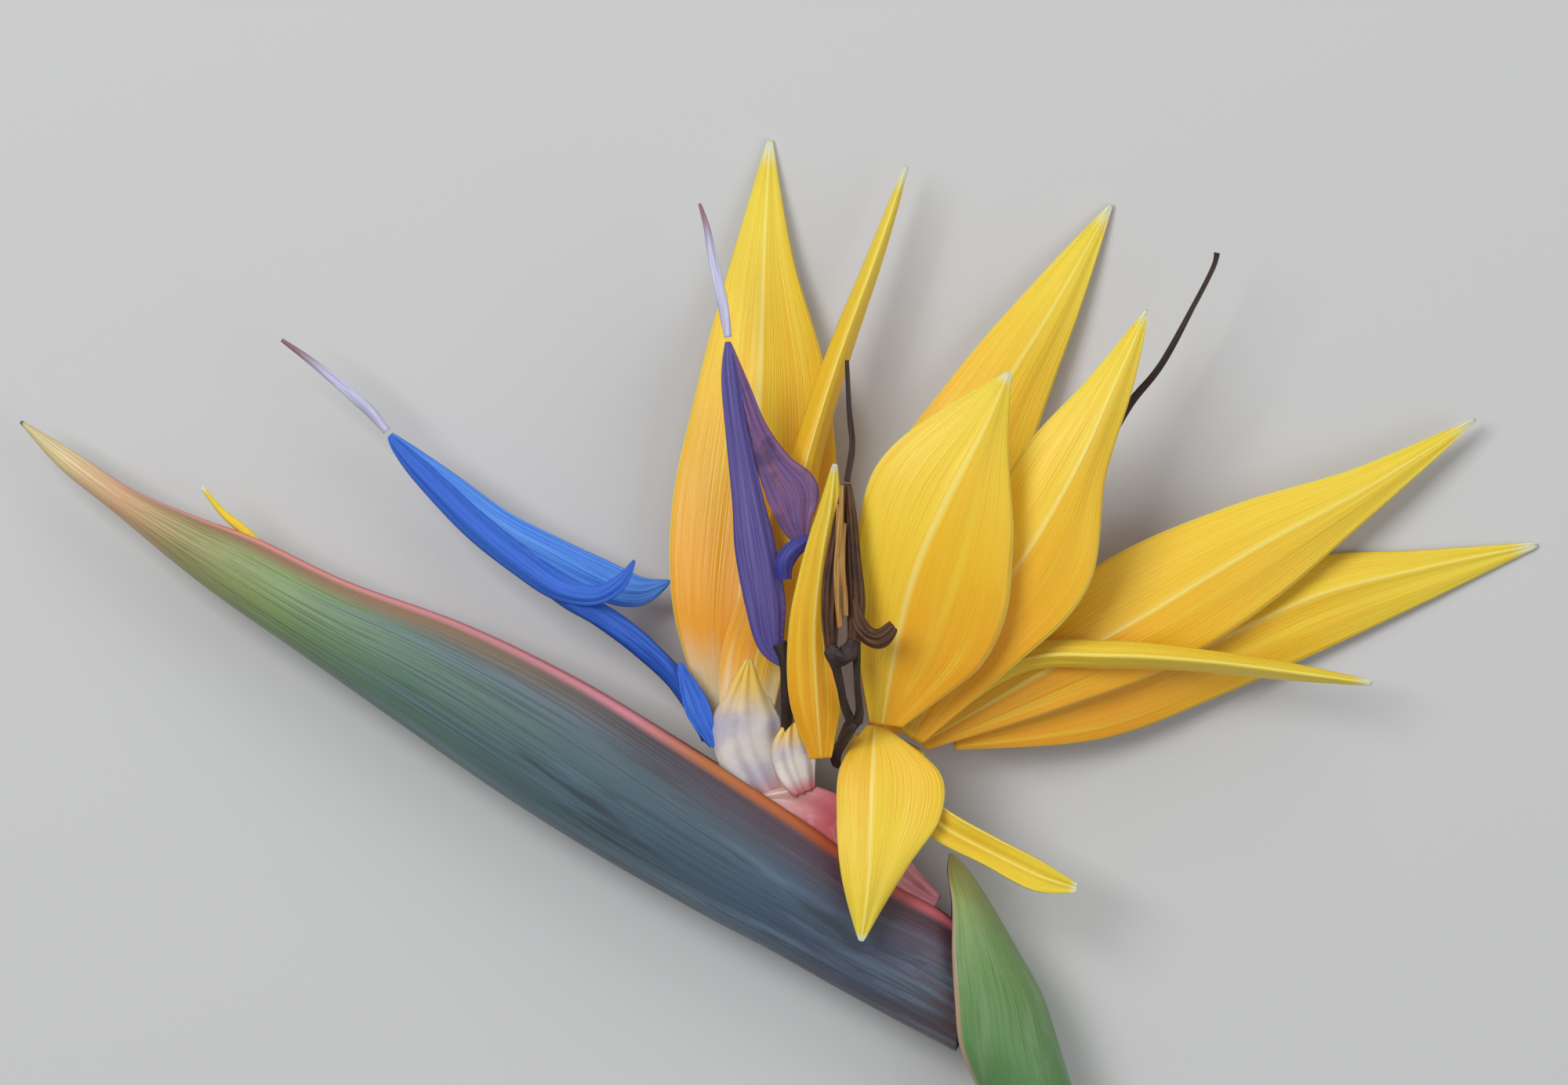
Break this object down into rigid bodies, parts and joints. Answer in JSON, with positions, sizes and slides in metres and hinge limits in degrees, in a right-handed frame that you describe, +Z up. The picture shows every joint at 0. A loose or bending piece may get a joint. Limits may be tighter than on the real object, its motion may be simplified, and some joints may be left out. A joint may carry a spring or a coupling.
{
  "type": "bird of paradise flower",
  "caption": "Cut bird of paradise flower lying on its side: a boat-shaped beak, a fan of yellow sepals, blue, purple and withered arrow petals, and a sheathed stem.",
  "frame": {"origin": "centre of the flower's footprint, on the surface that it lies on", "axes": "+Z up from the surface it lies on; -X the way the beak points; +Y the way the open flowers rise"},
  "size_m": [0.2428, 0.2182, 0.0344],
  "materials": {
    "sepal_yellow": "fresh yellow to orange-yellow sepal, fine parallel veins, soft waxy sheen, light passes through it",
    "spathe_skin": "smooth leathery bract, blue-grey with a green and peach point, a pink rim and fine lengthwise streaks",
    "sheath_green": "smooth fresh green leaf sheath, fine parallel veins",
    "stem_green": "smooth fresh green stalk, pale where it is cut",
    "bract_pink": "moist pink to red membrane",
    "base_white": "fleshy white to cream flower base",
    "nectary_blue": "matte deep blue petal with a crimped seam",
    "nectary_purple": "ageing blue petal, purple with reddish streaks",
    "stigma_pale": "pale lilac style with a purplish-brown tip",
    "withered_brown": "dry dark brown petal and thread",
    "stamen_gold": "dry golden stamens"
  },
  "bodies": {
    "root": {"bud_5": "base_white", "hood_petal_1": "nectary_blue", "inner_bract": "bract_pink", "nectary_1": "nectary_blue", "nectary_2": "nectary_purple", "nectary_3": "withered_brown", "nectary_4": "withered_brown", "pedicel_1": "base_white", "pedicel_2": "base_white", "pedicel_3": "base_white", "pedicel_4": "base_white", "sepal_1_narrow": "sepal_yellow", "sepal_1_tall": "sepal_yellow", "sepal_2_back": "sepal_yellow", "sepal_2_front": "sepal_yellow", "sepal_2_short": "sepal_yellow", "sepal_3_channel": "sepal_yellow", "sepal_3_droop": "sepal_yellow", "sepal_3_upright": "sepal_yellow", "sepal_4_lower": "sepal_yellow", "sepal_4_narrow": "sepal_yellow", "sepal_4_upper": "sepal_yellow", "sheath": "sheath_green", "spathe": "spathe_skin", "stamens_3": "stamen_gold", "stem": "stem_green", "stigma_1": "stigma_pale", "stigma_2": "stigma_pale", "stigma_3": "withered_brown", "stigma_4": "withered_brown"}
  },
  "joints": []
}
